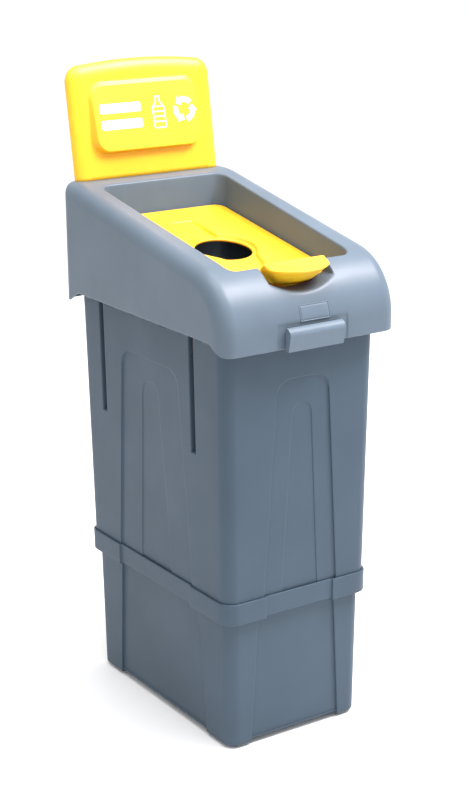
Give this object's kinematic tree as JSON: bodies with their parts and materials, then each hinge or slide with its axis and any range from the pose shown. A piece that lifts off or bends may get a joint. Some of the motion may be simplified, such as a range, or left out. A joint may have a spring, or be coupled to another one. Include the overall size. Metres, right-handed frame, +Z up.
{
  "type": "recycling bin station",
  "caption": "Free-standing slim recycling bin: container nested in a plinth, hinged hood, lift-up lid with a round opening, and an upright sign board.",
  "frame": {"origin": "centre of the footprint on the floor", "axes": "+Z up; the front, with the latch and the lid's lifting nose, faces -Y; +X to the right seen from the front"},
  "size_m": [0.351, 0.5614, 1.1284],
  "materials": {
    "grey_plastic": "satin, moulded",
    "hood_grey_plastic": "satin, moulded",
    "pale_grey_plastic": "satin, moulded",
    "yellow_plastic": "semi-gloss, moulded",
    "white_vinyl": "smooth film",
    "zinc_steel": "zinc plated",
    "black_steel": "powder coated",
    "rubber": "matt"
  },
  "bodies": {
    "base": {"plinth": "grey_plastic", "plinth_feet": "rubber", "container": "grey_plastic", "plinth_screws": "zinc_steel", "hinge_bracket_left": "black_steel", "hinge_bracket_right": "black_steel", "hinge_pin_left": "zinc_steel", "hinge_pin_right": "zinc_steel", "hinge_screws": "zinc_steel", "latch_keeper": "black_steel", "keeper_screws": "zinc_steel", "sack_hooks": "black_steel"},
    "hood": {"hood": "hood_grey_plastic", "badge_plate": "pale_grey_plastic", "sign_board": "yellow_plastic", "sign_screws": "zinc_steel", "label_bars": "white_vinyl", "bottle_label": "white_vinyl", "loop_label": "white_vinyl", "lid_pin_left": "zinc_steel", "lid_pin_right": "zinc_steel", "latch_pin": "zinc_steel"},
    "lid": {"lid": "yellow_plastic"},
    "latch": {"latch": "pale_grey_plastic"},
    "sack_ring": {"sack_ring": "zinc_steel"}
  },
  "joints": [
    {"name": "hood_hinge", "type": "hinge", "parent": "base", "child": "hood", "pos_m": [0, 0.2535, 0.702], "axis": [-1, 0, 0], "range_deg": [0, 95]},
    {"name": "lid_hinge", "type": "hinge", "parent": "hood", "child": "lid", "pos_m": [0, 0.167, 0.85125], "axis": [-1, 0, 0], "range_deg": [0, 105]},
    {"name": "latch_pivot", "type": "hinge", "parent": "hood", "child": "latch", "pos_m": [0, -0.256, 0.738], "axis": [-1, 0, 0], "range_deg": [0, 15]},
    {"name": "sack_ring_lift", "type": "slide", "parent": "base", "child": "sack_ring", "axis": [0, 0, 1], "range_m": [0, 0.04]}
  ]
}
